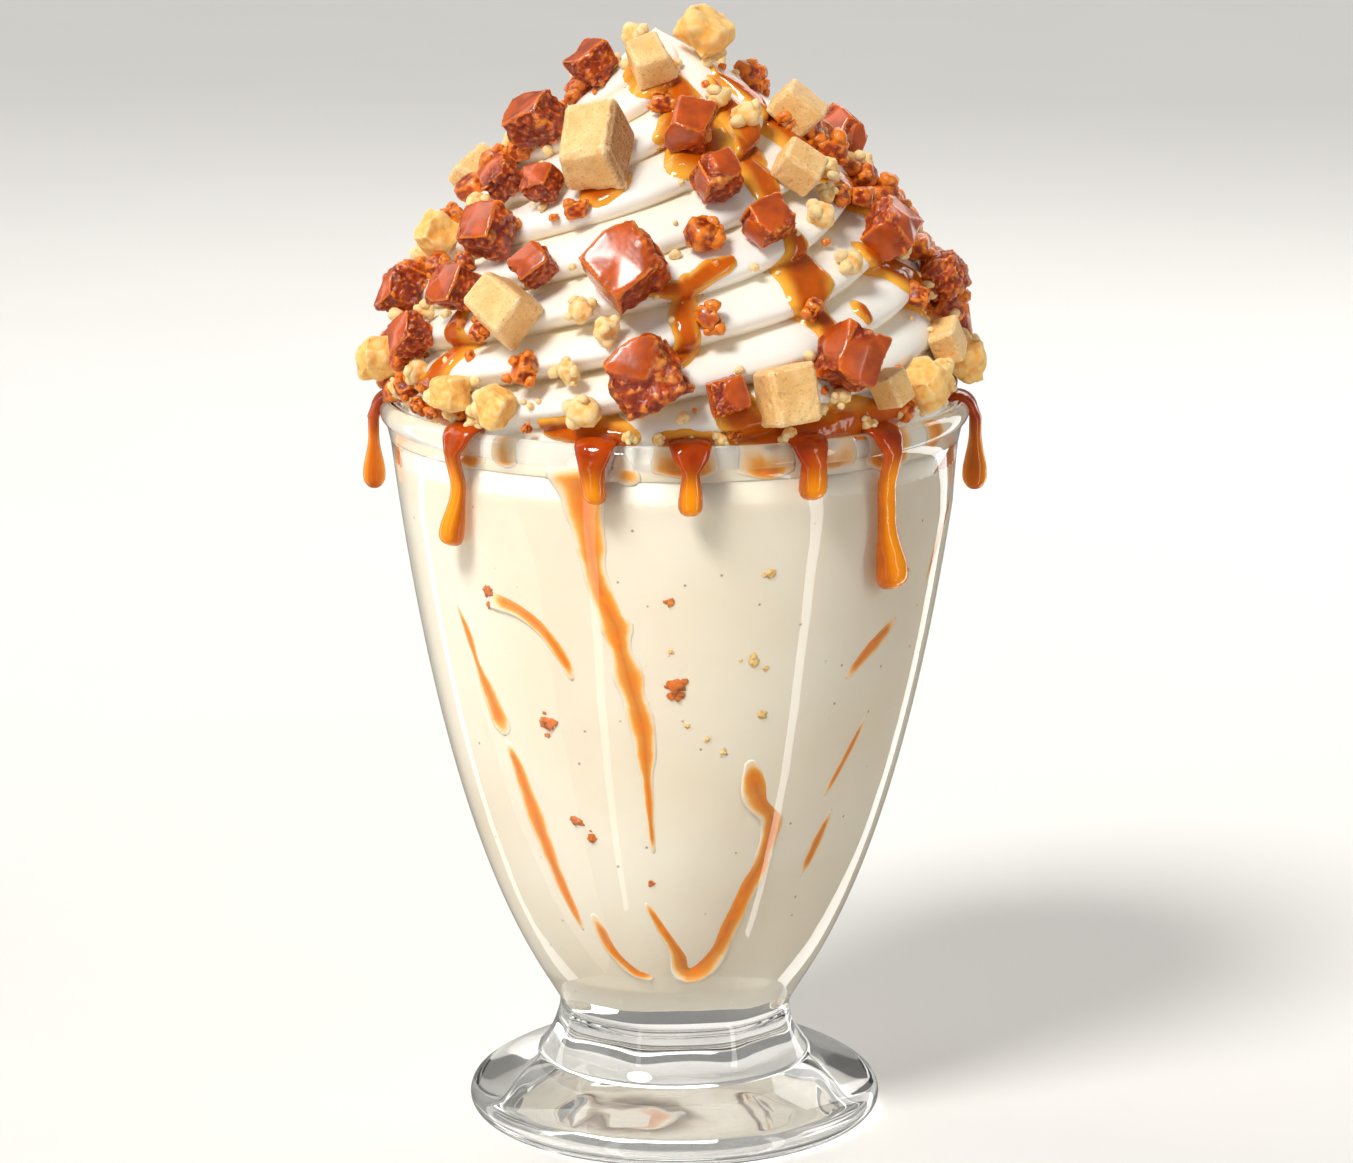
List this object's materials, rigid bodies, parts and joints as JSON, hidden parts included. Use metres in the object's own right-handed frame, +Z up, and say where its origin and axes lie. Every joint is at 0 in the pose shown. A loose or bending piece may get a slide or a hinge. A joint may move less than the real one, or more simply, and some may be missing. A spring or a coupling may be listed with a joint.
{
  "type": "vanilla milkshake",
  "caption": "Vanilla milkshake in a footed, panelled glass under a piped swirl of whipped cream, with toffee, fudge, cookie crumbs and caramel running over the rim.",
  "frame": {"origin": "centre of the foot's flat underside, which the glass stands on", "axes": "+Z up along the glass's axis to the tip of the cream, -Y towards the side shown in the picture, +X to the right of it"},
  "size_m": [0.1061, 0.1126, 0.1935],
  "materials": {
    "clear_glass": "clear pressed glass",
    "milkshake": "smooth and creamy",
    "whipped_cream": "soft satin cream",
    "toffee": "glossy, broken",
    "fudge": "dense and matt",
    "cookie_crumb": "dry and crumbly",
    "caramel": "glossy sauce"
  },
  "bodies": {
    "root": {"caramel_drip_1": "caramel", "caramel_drip_10": "caramel", "caramel_drip_11": "caramel", "caramel_drip_2": "caramel", "caramel_drip_3": "caramel", "caramel_drip_4": "caramel", "caramel_drip_5": "caramel", "caramel_drip_6": "caramel", "caramel_drip_7": "caramel", "caramel_drip_8": "caramel", "caramel_drip_9": "caramel", "cookie_1": "cookie_crumb", "cookie_10": "cookie_crumb", "cookie_11": "cookie_crumb", "cookie_2": "cookie_crumb", "cookie_3": "cookie_crumb", "cookie_4": "cookie_crumb", "cookie_5": "cookie_crumb", "cookie_6": "cookie_crumb", "cookie_7": "cookie_crumb", "cookie_8": "cookie_crumb", "cookie_9": "cookie_crumb", "fudge_1": "fudge", "fudge_10": "fudge", "fudge_11": "fudge", "fudge_2": "fudge", "fudge_3": "fudge", "fudge_4": "fudge", "fudge_5": "fudge", "fudge_6": "fudge", "fudge_7": "fudge", "fudge_8": "fudge", "fudge_9": "fudge", "glass": "clear_glass", "milkshake": "milkshake", "toffee_1": "toffee", "toffee_10": "toffee", "toffee_11": "toffee", "toffee_12": "toffee", "toffee_13": "toffee", "toffee_14": "toffee", "toffee_15": "toffee", "toffee_16": "toffee", "toffee_17": "toffee", "toffee_18": "toffee", "toffee_19": "toffee", "toffee_2": "toffee", "toffee_20": "toffee", "toffee_21": "toffee", "toffee_22": "toffee", "toffee_23": "toffee", "toffee_3": "toffee", "toffee_4": "toffee", "toffee_5": "toffee", "toffee_6": "toffee", "toffee_7": "toffee", "toffee_8": "toffee", "toffee_9": "toffee", "whipped_cream": "whipped_cream"}
  },
  "joints": []
}
